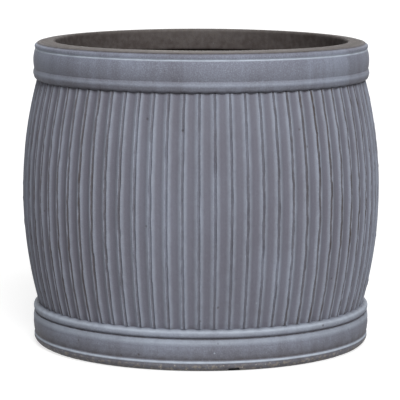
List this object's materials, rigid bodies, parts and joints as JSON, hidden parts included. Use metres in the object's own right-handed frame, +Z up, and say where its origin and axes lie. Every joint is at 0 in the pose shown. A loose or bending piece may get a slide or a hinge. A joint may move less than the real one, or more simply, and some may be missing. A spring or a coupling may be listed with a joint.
{
  "type": "flower pot",
  "caption": "Round barrel-shaped planter of glass-reinforced resin with a fluted belly, moulded collar and plinth, raised floor and lift-out drain plug.",
  "frame": {"origin": "middle of the circle that the foot ring stands on", "axes": "+Z up along the pot's axis of turning; the picture looks along +Y, with +X to the right"},
  "size_m": [0.386, 0.386, 0.327],
  "materials": {
    "stone_resin_facing": "matt grey stone-filled resin with pale worn edges and dark grooves",
    "stone_resin_rim": "matt warm grey, rubbed",
    "stone_resin_foot": "matt grey, rough trimmed edge",
    "glass_mat_laminate": "dark satin resin with chopped glass strands",
    "plug_rubber": "matt black"
  },
  "bodies": {
    "pot": {"fluted_wall": "stone_resin_facing", "collar": "stone_resin_facing", "rim_lip": "stone_resin_rim", "plinth_band": "stone_resin_facing", "foot_ring": "stone_resin_foot", "floor_disc": "glass_mat_laminate", "wall_laminate": "glass_mat_laminate", "floor_fillet": "glass_mat_laminate"},
    "plug": {"drain_plug": "plug_rubber"}
  },
  "joints": [
    {"name": "plug_lift", "type": "slide", "parent": "pot", "child": "plug", "axis": [0, 0, 1], "range_m": [0, 0.33]}
  ]
}
